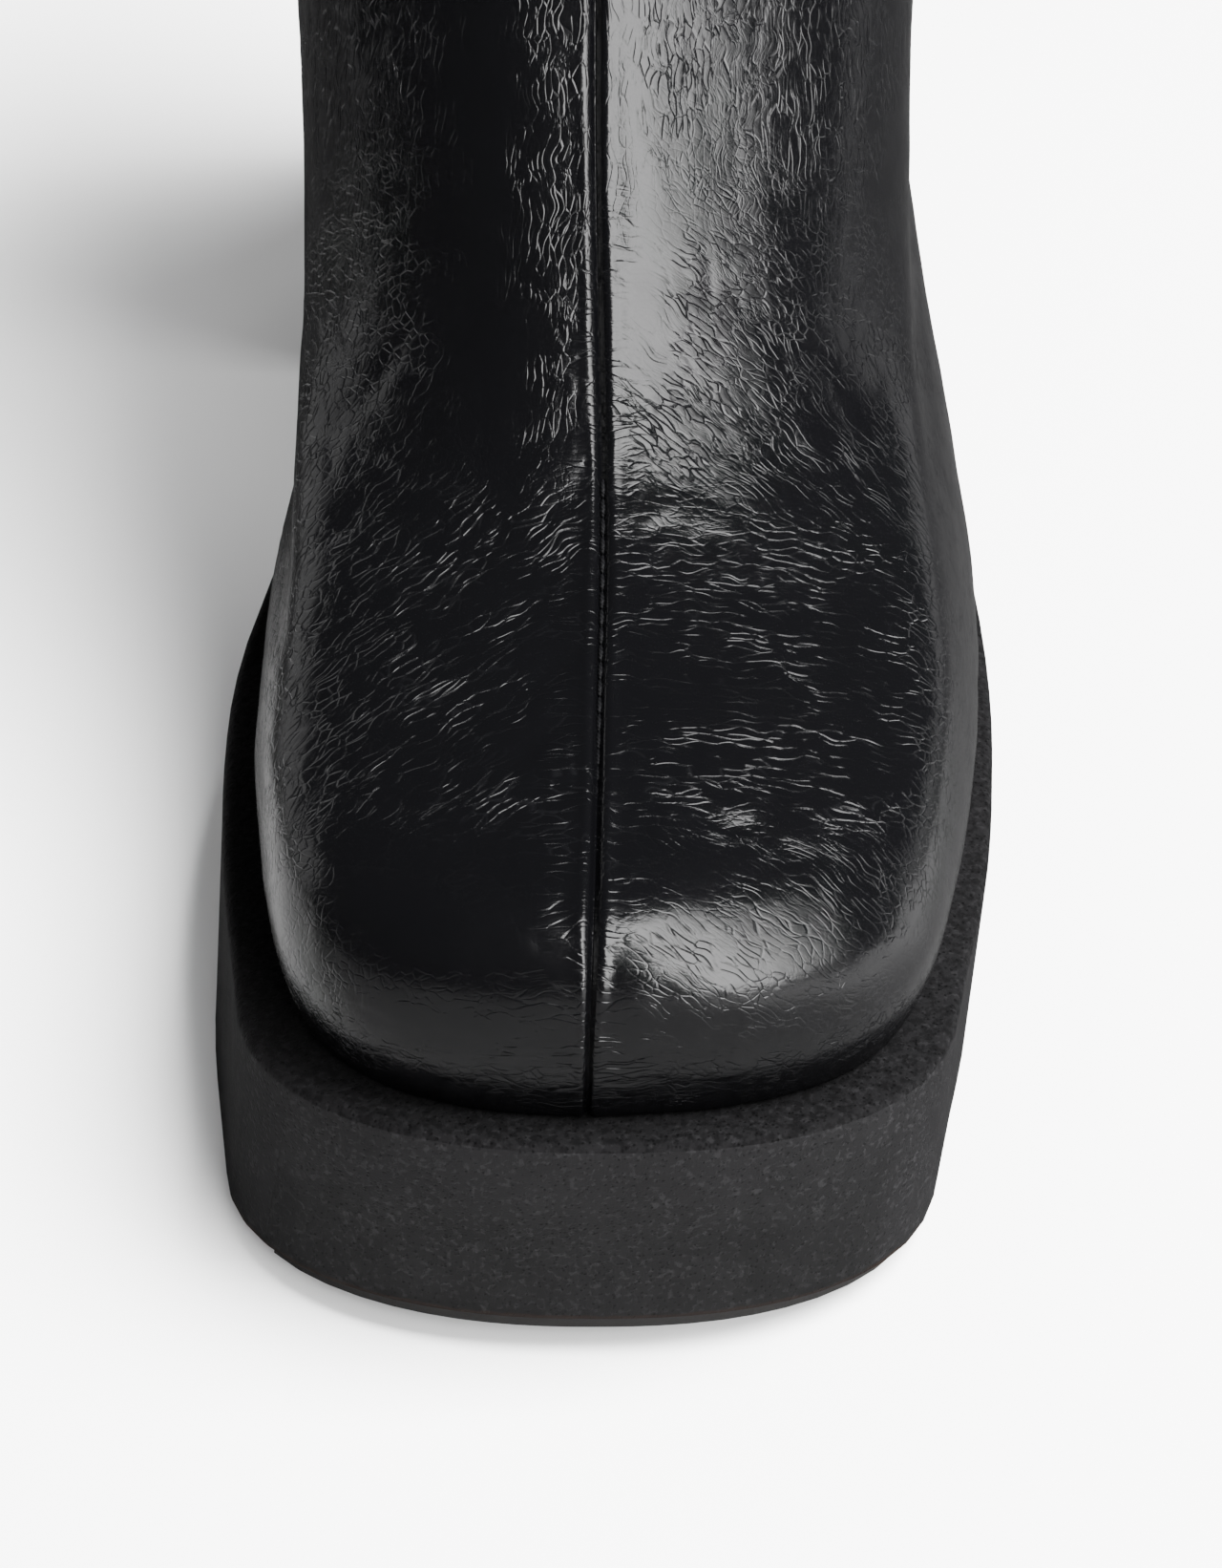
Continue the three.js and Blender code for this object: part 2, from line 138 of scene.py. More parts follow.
# ---- shader maths ---------------------------------------------------------------------------


class Number:
    """A number that varies over a surface, for use in plain expressions."""

    def __init__(self, shader, socket):
        self.shader = shader
        self.socket = socket

    def maths(self, operation, *values):
        sockets = dict(enumerate(values))
        node = self.shader.node("ShaderNodeMath", {"operation": operation}, sockets)
        return Number(self.shader, node.outputs[0])

    def __add__(self, other):
        return self.maths("ADD", self, other)

    __radd__ = __add__

    def __sub__(self, other):
        return self.maths("SUBTRACT", self, other)

    def __rsub__(self, other):
        return self.maths("SUBTRACT", other, self)

    def __mul__(self, other):
        return self.maths("MULTIPLY", self, other)

    __rmul__ = __mul__

    def __truediv__(self, other):
        return self.maths("DIVIDE", self, other)

    def __pow__(self, other):
        return self.maths("POWER", self, other)

    def __abs__(self):
        return self.maths("ABSOLUTE", self)

    def least(self, other):
        return self.maths("MINIMUM", self, other)

    def most(self, other):
        return self.maths("MAXIMUM", self, other)

    def ramp(self, low, high):
        """0 below low, 1 above high, eased between."""
        settings = {"interpolation_type": "SMOOTHSTEP"}
        node = self.shader.node("ShaderNodeMapRange", settings, {0: self, 1: low, 2: high})
        return Number(self.shader, node.outputs[0])


class Shader:
    """One node material, or the nodes of a lamp, built from expressions."""

    def __init__(self, name=None, tree=None):
        self.tree = tree
        if tree is None:
            self.material = bpy.data.materials.new(name)
            self.material.use_nodes = True
            self.tree = self.material.node_tree
            self.tree.nodes.clear()
            self.place = self.node("ShaderNodeTexCoord").outputs["Object"]

    def node(self, kind, settings=None, sockets=None):
        made = self.tree.nodes.new(kind)
        for key, value in (settings or {}).items():
            setattr(made, key, value)
        for key, value in (sockets or {}).items():
            self.feed(made.inputs[key], value)
        return made

    def feed(self, socket, value):
        if isinstance(value, Number):
            value = value.socket
        if isinstance(value, bpy.types.NodeSocket):
            self.tree.links.new(value, socket)
        elif socket.type == "RGBA":
            socket.default_value = (*value[:3], 1.0)
        else:
            socket.default_value = value

    def axes(self):
        node = self.node("ShaderNodeSeparateXYZ", None, {0: self.place})
        return [Number(self, output) for output in node.outputs]

    def attribute(self, name):
        node = self.node("ShaderNodeAttribute", {"attribute_name": name})
        return Number(self, node.outputs["Fac"])

    def swayed(self, amount, size):
        """The place moved about by smooth noise, which bends the lines drawn on it."""
        wave = self.node("ShaderNodeTexNoise", None, {
            "Vector": self.place, "Scale": 1.0 / size, "Detail": 1.0})
        moved = self.node("ShaderNodeVectorMath", {"operation": "SUBTRACT"}, {
            0: wave.outputs["Color"], 1: (0.5, 0.5, 0.5)})
        return self.node("ShaderNodeVectorMath", {"operation": "MULTIPLY_ADD"}, {
            0: moved.outputs[0], 1: (amount, amount, amount), 2: self.place}).outputs[0]

    def grain(self, size, shift=0.0, detail=0.0):
        """Smooth noise about 0.5 with round lumps."""
        lifted = self.node("ShaderNodeVectorMath", {"operation": "ADD"}, {
            0: self.place, 1: (shift, shift * 0.7, shift * 1.3)})
        node = self.node("ShaderNodeTexNoise", None, {
            "Vector": lifted.outputs[0], "Scale": 1.0 / size, "Detail": detail})
        return Number(self, node.outputs[0])

    def drawn(self, place, along, thin, long, shift):
        """The place counted in lumps that are drawn out along one direction."""
        along = Vector(along).normalized()
        share = self.node("ShaderNodeVectorMath", {"operation": "DOT_PRODUCT"}, {
            0: place, 1: along})
        pressed = self.node("ShaderNodeVectorMath", {"operation": "SCALE"}, {
            0: along * (1.0 / thin - 1.0 / long), "Scale": share.outputs["Value"]})
        spread = self.node("ShaderNodeVectorMath", {"operation": "MULTIPLY_ADD"}, {
            0: place, 1: (1.0 / thin,) * 3, 2: (shift, shift * 0.7, shift * 1.3)})
        return self.node("ShaderNodeVectorMath", {"operation": "SUBTRACT"}, {
            0: spread.outputs[0], 1: pressed.outputs[0]}).outputs[0]

    def strands(self, place, along, thin, long, shift, detail=1.0):
        """Smooth noise about 0.5 whose lumps are drawn out along one direction."""
        node = self.node("ShaderNodeTexNoise", None, {
            "Vector": self.drawn(place, along, thin, long, shift), "Scale": 1.0,
            "Detail": detail})
        return Number(self, node.outputs[0])

    def net(self, place, along, thin, long, shift):
        """Distance to the nearest line of a net of long cells, in cell widths."""
        node = self.node("ShaderNodeTexVoronoi", {"feature": "DISTANCE_TO_EDGE"}, {
            "Vector": self.drawn(place, along, thin, long, shift), "Scale": 1.0})
        return Number(self, node.outputs["Distance"])

    def cells(self, size, feature="F1"):
        node = self.node("ShaderNodeTexVoronoi", {"feature": feature}, {
            "Vector": self.place, "Scale": 1.0 / size})
        return Number(self, node.outputs["Distance"])

    def blend(self, share, low, high):
        """A colour between two colours."""
        node = self.node("ShaderNodeMix", {"data_type": "RGBA"}, {0: share, 6: low, 7: high})
        return node.outputs[2]

    def relief(self, height, before=None):
        """A normal bent by a height in metres."""
        sockets = {"Height": height, "Distance": 1.0, "Strength": 1.0}
        if before is not None:
            sockets["Normal"] = before
        return self.node("ShaderNodeBump", None, sockets).outputs["Normal"]

    def finish(self, sockets):
        surface = self.node("ShaderNodeBsdfPrincipled", None, sockets)
        end = self.node("ShaderNodeOutputMaterial")
        self.tree.links.new(surface.outputs[0], end.inputs["Surface"])
        return self.material


# ---- finishes -------------------------------------------------------------------------------


# Ways in which the leather creases, each along one direction.
WAYS = (
    # name, direction, width and length of the cells between creases
    ("level", (1.0, 0.0, 0.0), 0.00108, 0.0056),
    ("fan", (0.80, -0.38, -0.46), 0.00086, 0.0052),
    ("standing", (0.05, 0.35, 0.93), 0.00084, 0.0050),
    ("rising", (0.86, 0.50, 0.10), 0.00106, 0.0060),
)


def patent_leather(settings):
    """Black patent with fine sharp creases that follow the upper."""
    shader = Shader("creased_patent_leather")
    place = shader.swayed(0.0026, 0.0050)
    lines = 0.0
    for number, (name, along, thin, long) in enumerate(WAYS):
        net = shader.net(place, along, thin, long, 1.0 + number * 3.0)
        fine = shader.strands(place, along, thin * 0.55, long * 0.55, 2.0 + number * 3.0)
        gaps = shader.strands(place, along, thin * 1.9, long * 0.9, 3.0 + number * 3.0)
        share = (1.0 - net / 0.10).most(0.0) * gaps.ramp(0.37, 0.52)
        share = share + (1.0 - net.ramp(0.0, 0.45)) * 0.20
        share = share + (1.0 - abs(fine - 0.5) / 0.09).most(0.0) * gaps.ramp(0.64, 0.46) * 0.24
        lines = shader.attribute(name) * share + lines
    patches = shader.grain(0.0090, 3.0, 2.0).ramp(0.30, 0.62)
    amount = shader.attribute("crease_amount")
    creases = lines * (0.45 + patches * 0.55) * amount
    pebble = shader.grain(0.00030, 7.0, 1.0)
    soft = shader.grain(0.0026, 8.0, 1.0)
    height = (
        pebble * 0.0000045
        + soft * 0.00007 * (0.4 + amount)
        - creases * settings.crinkle_depth
    )
    worn = creases.ramp(0.2, 1.4)
    return shader.finish({
        "Base Color": shader.blend(worn, settings.leather_colour, (0.0022, 0.0022, 0.0025)),
        "Roughness": 0.14 + worn * 0.08 + pebble * 0.10,
        "IOR": 1.50,
        "Normal": shader.relief(height),
    })


def sole_foam(settings):
    """Fine-celled foam, buffed on its upward faces, which are also painted darker as shade,
    with pores painted darker as shade and a dark line at the lower edge.
    """
    shader = Shader("fine_cell_foam")
    _, y, z = shader.axes()
    fine = shader.grain(0.00032, 1.0, 2.0)
    speck = shader.grain(0.0008, 2.0, 2.0).ramp(0.52, 0.68)
    cloud = shader.grain(0.006, 3.0, 2.0)
    # pores: sunk by the bump, and painted darker as shade in their hollows
    pore_hollows_and_shade = 1.0 - shader.cells(0.00075).ramp(0.10, 0.34)
    facing = shader.node("ShaderNodeSeparateXYZ", None, {
        0: shader.node("ShaderNodeNewGeometry").outputs["True Normal"]})
    # upward faces: painted shade that darkens them, and a mottled buffed bump
    top_shade_and_buff = Number(shader, facing.outputs[2]).ramp(0.25, 0.55)
    back = y - TIP
    spring = (1.0 - back / SPRING_END).most(0.0) ** 2.0 * SPRING_RISE
    above = z - spring - SOLE[0][2] - shader.grain(0.002, 4.0) * 0.0005
    line = 1.0 - above.ramp(settings.edge_line * 0.6, settings.edge_line * 1.4)
    light = [c * 2.6 for c in settings.foam_colour]
    # colour of the painted shade in the pores and on the upward faces
    dark = [c * 0.30 for c in settings.foam_colour]
    mottle = shader.grain(0.0010, 5.0, 2.0).ramp(0.42, 0.64)
    body = shader.blend((speck * 0.60 + cloud * 0.30).least(1.0), settings.foam_colour, light)
    # painted shade: pores and upward faces blended towards the shade colour
    body = shader.blend((pore_hollows_and_shade * 0.5 + top_shade_and_buff * (0.38 + mottle * 0.40)).least(1.0), body, dark)
    height = (
        fine * 0.00004
        + speck * 0.000035
        - pore_hollows_and_shade * 0.00006
        + top_shade_and_buff * mottle * 0.00005
    )
    return shader.finish({
        "Base Color": shader.blend(line, body, settings.edge_colour),
        "Roughness": 0.78 + cloud * 0.2,
        "Specular IOR Level": 0.12,
        "Normal": shader.relief(height),
    })


def tread_rubber(settings):
    """Dense rubber, scuffed a little where it meets the ground."""
    shader = Shader("tread_rubber_finish")
    z = shader.axes()[2]
    fine = shader.grain(0.0005, 1.0, 2.0)
    cloud = shader.grain(0.008, 2.0, 2.0)
    scuff = (1.0 - z.ramp(0.0, 0.0006)) * cloud.ramp(0.45, 0.65)
    light = [c * 2.6 for c in settings.rubber_colour]
    worn = (scuff * 0.6 + fine * 0.3).least(1.0)
    return shader.finish({
        "Base Color": shader.blend(worn, settings.rubber_colour, light),
        "Roughness": 0.52 + scuff * 0.25 + fine * 0.12,
        "Normal": shader.relief(fine * 0.00003),
    })


def woven_cloth(settings, name, size):
    """Plain weave for the lining and the footbed."""
    shader = Shader(name)
    x, y, z = shader.axes()
    turns = 2.0 * math.pi / size
    warp = (x * turns).maths("SINE", x * turns)
    weft = ((y + z * 0.83) * turns).maths("SINE", (y + z * 0.83) * turns)
    weave = (warp * weft + 1.0) * 0.5
    fuzz = shader.grain(0.0012, 1.0, 2.0)
    light = [c * 2.4 for c in settings.cloth_colour]
    raised = (weave * 0.5 + fuzz * 0.4).least(1.0)
    return shader.finish({
        "Base Color": shader.blend(raised, settings.cloth_colour, light),
        "Roughness": 0.86 + fuzz * 0.1,
        "Normal": shader.relief(weave * 0.00012 + fuzz * 0.00008),
    })


def waxed_thread(settings):
    """Twisted thread with a dull wax."""
    shader = Shader("waxed_thread")
    x, y, z = shader.axes()
    twist = ((x + y + z) * 9000.0).maths("SINE", (x + y + z) * 9000.0)
    light = [c * 2.0 for c in settings.thread_colour]
    return shader.finish({
        "Base Color": shader.blend(twist * 0.5 + 0.5, settings.thread_colour, light),
        "Roughness": 0.62 + twist * 0.08,
        "Specular IOR Level": 0.25,
        "Normal": shader.relief(twist * 0.00002),
    })


# ---- mesh helpers ---------------------------------------------------------------------------


def node_copy(name):
    """A welded bmesh of a CAD node."""
    work = bmesh.new()
    work.from_mesh(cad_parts[name].data)
    bmesh.ops.remove_doubles(work, verts=work.verts, dist=WELD)
    return work


def add_piece(work, name, material, nodes=(), sharp=None):
    """Turns a bmesh into a finished object that rides on the boot."""
    mesh = bpy.data.meshes.new(name)
    work.to_mesh(mesh)
    work.free()
    mesh.shade_smooth()
    if sharp is not None:
        mesh.set_sharp_from_angle(angle=sharp)
    mesh.materials.append(material)
    piece = bpy.data.objects.new(name, mesh)
    bpy.context.scene.collection.objects.link(piece)
    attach(piece, "root")
    if nodes:
        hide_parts(*nodes)
    return piece


def rounded(work, levels):
    """The same surface after a subdivision surface."""
    mesh = bpy.data.meshes.new("rounding")
    work.to_mesh(mesh)
    work.free()
    holder = bpy.data.objects.new("rounding", mesh)
    bpy.context.scene.collection.objects.link(holder)
    modifier = holder.modifiers.new("rounding", "SUBSURF")
    modifier.levels = levels
    modifier.render_levels = levels
    smooth = bmesh.new()
    smooth.from_object(holder, bpy.context.evaluated_depsgraph_get())
    bpy.data.objects.remove(holder)
    bpy.data.meshes.remove(mesh)
    return smooth


def number_rings(work):
    """Numbers each vertex by its loop: down the outside from the collar, then up the inside."""
    top = max(vert.co.z for vert in work.verts)
    rim = {vert for vert in work.verts if vert.co.z > top - WELD}
    ring = {}
    current = [max(rim, key=lambda vert: vert.co.x)]
    while current:
        for vert in current:
            ring[vert] = 0
        current = {
            edge.other_vert(vert)
            for vert in current
            for edge in vert.link_edges
            if edge.other_vert(vert) in rim and edge.other_vert(vert) not in ring
            and any(len(rim.intersection(face.verts)) == 2 for face in edge.link_faces)
        }
    outer = set(ring)
    inner = rim - outer
    current = outer
    number = 0
    while current:
        number += 1
        current = {
            edge.other_vert(vert)
            for vert in current
            for edge in vert.link_edges
            if edge.other_vert(vert) not in ring and edge.other_vert(vert) not in inner
        }
        for vert in current:
            ring[vert] = number
    for vert in inner:
        ring[vert] = number
    return ring, number


def quads_from_rings(work, ring):
    """Dissolves the diagonals between neighbouring loops, which leaves a plain grid."""
    kinds = {}
    for face in work.faces:
        for corner in face.loops:
            if ring[corner.vert] == ring[corner.link_loop_next.vert]:
                band = frozenset(ring[vert] for vert in face.verts)
                pair = kinds.setdefault(band, (set(), set()))
                pair[0].add(corner.link_loop_prev.edge)
                pair[1].add(corner.link_loop_next.edge)
    diagonals = set()
    for pair in kinds.values():
        diagonals |= max(pair, key=lambda edges: sum(edge.calc_length() for edge in edges))
    bmesh.ops.dissolve_edges(work, edges=list(diagonals), use_verts=False)


def upper_shell(inside):
    """The outer or the inner face of the upper as an open grid."""
    work = node_copy("upper")
    ring, last = number_rings(work)
    quads_from_rings(work, ring)
    middle = last // 2
    unwanted = []
    for face in work.faces:
        numbers = [ring[vert] for vert in face.verts]
        outer = max(numbers) <= middle
        inner = min(numbers) > middle
        if not (inner if inside else outer):
            unwanted.append(face)
    bmesh.ops.delete(work, geom=unwanted, context="FACES")
    return work


def ease(value, low, high):
    """0 below low, 1 above high, eased between."""
    share = min(max((value - low) / (high - low), 0.0), 1.0)
    return share * share * (3.0 - 2.0 * share)


def bell(value, middle, width):
    return math.exp(-((value - middle) / width) ** 2)


# ---- the leather's relief -------------------------------------------------------------------

# Main creases on the front of the boot, in millimetres. "out" is the distance from the seam,
# positive to the outer side, and "up" the distance along the front from the feather line.
# A crease runs from the first point to the second, bowed by "bow" and "deep" is its share of
# the full depth; below zero it is a ridge.
CREASES = [
    # out, up,    out, up,   bow,  wide, deep
    (1.5, 72.0, 20.0, 69.5, 1.2, 1.3, 0.45),
    (2.5, 68.0, 24.0, 63.0, 1.0, 1.3, 0.4),
    (9.0, 79.0, 26.0, 69.0, 1.0, 1.2, 0.35),
    (12.0, 84.5, 30.0, 74.0, 1.2, 1.3, 0.3),
    (-2.5, 77.0, -15.0, 70.0, -1.0, 1.5, 0.35),
    (-2.5, 72.0, -13.0, 64.0, -1.0, 1.2, 0.35),
    (-4.0, 85.0, -18.0, 78.0, 1.0, 1.5, 0.25),
    (10.0, 90.0, 27.0, 82.0, 1.2, 1.5, 0.25),
    (1.5, 39.0, 19.0, 36.0, 1.8, 1.2, 0.7),
    (4.0, 36.5, 26.0, 33.0, 1.6, 1.2, 0.8),
    (2.0, 43.5, 22.0, 39.5, 1.4, 1.3, 0.6),
    (8.0, 47.0, 29.0, 42.0, 1.2, 1.4, 0.5),
    (-2.0, 41.0, -17.0, 36.0, -1.2, 1.2, 0.5),
    (-5.0, 48.0, -24.0, 39.0, -1.4, 1.4, 0.6),
    (-4.0, 56.0, -25.0, 46.0, -1.2, 1.5, 0.55),
    (-6.0, 64.0, -27.0, 54.0, -1.5, 1.6, 0.5),
    (12.0, 57.0, 31.0, 52.0, 1.0, 1.6, 0.4),
    (14.0, 66.0, 33.0, 61.0, 1.4, 1.7, 0.45),
    (20.0, 84.0, 33.0, 74.0, 2.0, 2.0, 0.6),
    (23.0, 97.0, 35.0, 84.0, 2.0, 2.2, 0.5),
    (-20.0, 84.0, -32.0, 73.0, -2.0, 2.0, 0.6),
    (-22.0, 98.0, -34.0, 85.0, -2.0, 2.2, 0.45),
    (5.0, 104.0, 24.0, 97.0, 1.5, 2.4, 0.35),
    (-5.0, 110.0, -23.0, 103.0, -1.5, 2.4, 0.3),
    (4.0, 75.0, 20.0, 72.5, 1.3, 1.4, -0.2),
    (-4.0, 82.0, -16.0, 74.5, -1.0, 1.8, -0.15),
    (3.0, 41.5, 24.0, 37.0, 1.5, 1.4, -0.4),
]


def front_place(point):
    """Distance from the seam and distance along the front, in millimetres."""
    out = (point.x - SEAM) * 1000.0
    up = ((point.y - UPPER[0][1]) + (point.z - FEATHER)) * math.sqrt(0.5) * 1000.0
    return out, up


def wandering_place(point):
    """The same two distances, strayed so that regions set by them have no straight edges."""
    out, up = front_place(point)
    out += 5.0 * noise.noise(point * 55.0) + 2.0 * noise.noise(point * 160.0)
    up += 6.0 * noise.noise(point * 50.0 + Vector((7.0, 1.0, 4.0)))
    return out, up


def main_creases(point):
    """Depth of the listed creases, 0 to about 1."""
    if point.y > 0.045:
        return 0.0
    out, up = front_place(point)
    depth = 0.0
    for out_a, up_a, out_b, up_b, bow, wide, deep in CREASES:
        share = (out - out_a) / (out_b - out_a)
        if -0.25 < share < 1.25:
            line = up_a + (up_b - up_a) * share + bow * math.sin(math.pi * share)
            line += noise.noise(Vector((out * 0.30, up_a, 0.0))) * 1.3
            fade = ease(share, -0.25, 0.15) * (1.0 - ease(share, 0.75, 1.25))
            depth += deep * fade * bell(up, line, wide * (0.6 + 0.4 * fade))
    return depth


def folds(point, along, thin, long, seed):
    """Sharp-bottomed folds drawn out along one direction, 0 to 1."""
    pressed = along * (point.dot(along) * (1.0 / thin - 1.0 / long))
    place = point / thin - pressed + Vector((seed, seed * 0.5, -seed))
    fold = max(0.0, 1.0 - abs(noise.noise(place)) / 0.30)
    return fold * fold


def crease_share(point):
    """How much of the fine creasing shows here, 0 to 1."""
    out, up = wandering_place(point)
    share = 0.60
    share += 0.50 * bell(up, 77.0, 10.0) * bell(out, 7.0, 20.0)
    share += 0.35 * bell(up, 39.0, 7.0)
    share += 0.22 * bell(up, 58.0, 18.0) * ease(-out, 3.0, 14.0)
    share += 0.40 * bell(out, -3.0, 2.6) * bell(up, 92.0, 20.0)
    share -= 0.40 * bell(out, -10.0, 5.5) * bell(up, 85.0, 9.0)
    share += 0.40 * bell(out, 15.0, 7.0) * ease(up, 76.0, 90.0)
    share += 0.35 * ease(-out, 17.0, 25.0) * ease(up, 70.0, 90.0)
    share += 0.30 * (1.0 - ease(up, 6.0, 18.0))
    share -= 0.26 * bell(up, 20.0, 5.0) * ease(out, -6.0, 6.0)
    share -= 0.22 * bell(up, 26.0, 10.0) * ease(-out, 2.0, 16.0)
    share -= 0.10 * bell(up, 60.0, 8.0) * bell(out, 9.0, 9.0)
    share -= 0.45 * bell(out, 4.5, 4.0) * ease(up, 82.0, 94.0)
    share -= 0.26 * bell(out, -13.0, 8.0) * ease(up, 78.0, 100.0)
    share -= 0.14 * ease(out, 24.0, 31.0) * ease(up, 70.0, 90.0)
    share *= 1.0 - 0.45 * ease(point.y, 0.04, 0.09)
    share *= 1.0 - 0.45 * ease(point.z, 0.20, 0.24)
    return min(max(share, 0.05), 1.2)


def way_shares(point):
    """How much of each way of creasing shows here; the shares add up to 1."""
    out, up = wandering_place(point)
    standing = ease(up, 98.0, 132.0)
    beside = ease(-out, 1.0, 4.0) * (1.0 - ease(-out, 15.0, 24.0)) * ease(up, 75.0, 92.0)
    standing = max(standing, beside)
    fan = ease(out, 1.5, 7.0) * ease(up, 68.0, 80.0) * (1.0 - standing)
    rising = ease(-out, 2.0, 8.0) * ease(up, 32.0, 44.0) * (1.0 - standing)
    rising = max(rising, ease(-out, 0.5, 3.0) * bell(up, 73.0, 9.0) * (1.0 - standing))
    fan = max(fan, 0.85 * ease(out, 2.0, 9.0) * (1.0 - ease(up, 26.0, 42.0)))
    rising = max(rising, 0.8 * ease(-out, 3.0, 12.0) * (1.0 - ease(up, 22.0, 34.0)))
    level = max(0.0, 1.0 - standing - fan - rising)
    total = level + fan + standing + rising
    shares = {"level": level, "fan": fan, "standing": standing, "rising": rising}
    return {name: share / total for name, share in shares.items()}


def seam_drift(point):
    """How far the front seam wanders to the outer side of its plane."""
    out, up = front_place(point)
    if point.y > FRONT_END:
        return 0.0
    drift = SEAM_SHIFT * bell(up, 76.0, 30.0) - SEAM_RETURN * (1.0 - ease(up, 8.0, 45.0))
    return drift * bell(out, 0.0, 16.0)


def relief(point, settings):
    """How far the leather stands out from its smooth form here."""
    apart = abs(point.x - SEAM)
    out, up = front_place(point)
    lift = 0.0
    if point.y < FRONT_END:
        narrow = 0.48 + 0.52 * ease(up, 2.0, 30.0)
        ragged = noise.noise(Vector((out, point.y * 480.0, point.z * 480.0)))
        ragged += 0.7 * noise.noise(Vector((out, point.y * 1100.0, point.z * 1100.0)))
        roll = settings.roll_width * narrow * (1.0 + 0.16 * ragged)
        wide = math.exp(-((apart / roll) ** 1.6))
        notch = math.exp(-((apart / 0.00045) ** 2))
        lift -= settings.seam_depth * (0.55 * wide * narrow + 0.45 * notch)
        lift += 0.00014 * bell(apart, roll * 2.2, 0.0008)
        lift += 0.00005 * ragged * bell(apart, 0.0009, 0.0010)
    elif apart < 0.004:
        lift -= 0.0006 * math.exp(-((apart / 0.0009) ** 2))
    shin = ease(up, 92.0, 120.0) * (1.0 - ease(point.z, COLLAR - 0.045, COLLAR - 0.010))
    lift += SHIN_SWELL * ease(out, -26.0, -6.0) * (1.0 - ease(out, 3.0, 18.0)) * shin
    if point.y < 0.0:
        beside = ease(out, -22.0, -4.0) * (1.0 - ease(out, 2.0, 20.0))
        lift += TOE_SWELL * beside * ease(up, 12.0, 31.0) * (1.0 - ease(up, 31.0, 56.0))
    away = ease(apart, 0.0004, 0.0022)
    swell = noise.noise(point * 85.0 + Vector((2.0, 5.0, 1.0)))
    swell += 0.5 * noise.noise(point * 190.0)
    lift += 0.00018 * swell * away
    shares = way_shares(point)
    place = point + 0.0030 * noise.noise_vector(point * 90.0)
    depth = 0.0
    for number, (name, along, thin, long) in enumerate(WAYS):
        if shares[name] > 0.02:
            depth += shares[name] * folds(
                place, Vector(along).normalized(), thin * 3.6, long * 3.0, 4.0 + number)
    patch = ease(noise.noise(point * 120.0 + Vector((9.0, 0.0, 4.0))), -0.25, 0.35)
    lift -= 0.00016 * depth * patch * crease_share(point) * away
    lift -= settings.crease_depth * main_creases(point) * ease(apart, 0.0008, 0.0030)
    return lift


# ---- pieces ---------------------------------------------------------------------------------


class BOOT_OT_upper(bpy.types.Operator):
    """Two halves of creased leather, joined by the front and back seams."""

    bl_idname = "boot.upper"
    bl_label = "Leather upper"

    def execute(self, context):
        settings = context.scene.boot
        noise.seed_set(CREASE_SEED)
        leather = patent_leather(settings)
        for side, name in ((-1.0, "inner_half_leather"), (1.0, "outer_half_leather")):
            work = self.half(settings, side)
            piece = add_piece(work, name, leather, ["upper"])
            self.paint(piece)
        return {"FINISHED"}

    def half(self, settings, side):
        """The leather on one side of the seams, with its creases and its thickness."""
        work = upper_shell(inside=False)
        for apart in SEAM_CUTS:
            self.slice(work, SEAM + side * apart)
        bmesh.ops.bisect_plane(
            work, geom=work.verts[:] + work.edges[:] + work.faces[:], dist=WELD,
            plane_co=(SEAM, 0.0, 0.0), plane_no=(-side, 0.0, 0.0), clear_outer=True)
        work = rounded(work, settings.smoothing)
        shown = [
            edge for edge in work.edges
            if edge.verts[0].co.y < 0.012 and edge.verts[0].co.z < 0.205
            and edge.verts[1].co.y < 0.012 and edge.verts[1].co.z < 0.205
        ]
        bmesh.ops.subdivide_edges(work, edges=shown, cuts=1, use_grid_fill=True, smooth=0.0)
        work.normal_update()
        moves = [(vert, vert.normal * relief(vert.co, settings)) for vert in work.verts]
        for vert, move in moves:
            if abs(vert.co.x - SEAM) < 0.00004:
                move.x = 0.0
            vert.co.x += seam_drift(vert.co)
            vert.co += move
        bmesh.ops.solidify(work, geom=work.faces[:], thickness=settings.leather_thickness)
        return work

    def slice(self, work, place):
        """Cuts a row of vertices into the front, beside the seam."""
        near = [face for face in work.faces if face.calc_center_median().y < FRONT_END]
        geom = set(near)
        for face in near:
            geom.update(face.edges)
            geom.update(face.verts)
        bmesh.ops.bisect_plane(
            work, geom=list(geom), dist=WELD,
            plane_co=(place, 0.0, 0.0), plane_no=(1.0, 0.0, 0.0))

    def paint(self, piece):
        """Stores how much the leather creases here, and which way."""
        mesh = piece.data
        values = {"crease_amount": [crease_share(vert.co) for vert in mesh.vertices]}
        shares = [way_shares(vert.co) for vert in mesh.vertices]
        for way in WAYS:
            values[way[0]] = [share[way[0]] for share in shares]
        for name, numbers in values.items():
            mesh.attributes.new(name, "FLOAT", "POINT").data.foreach_set("value", numbers)


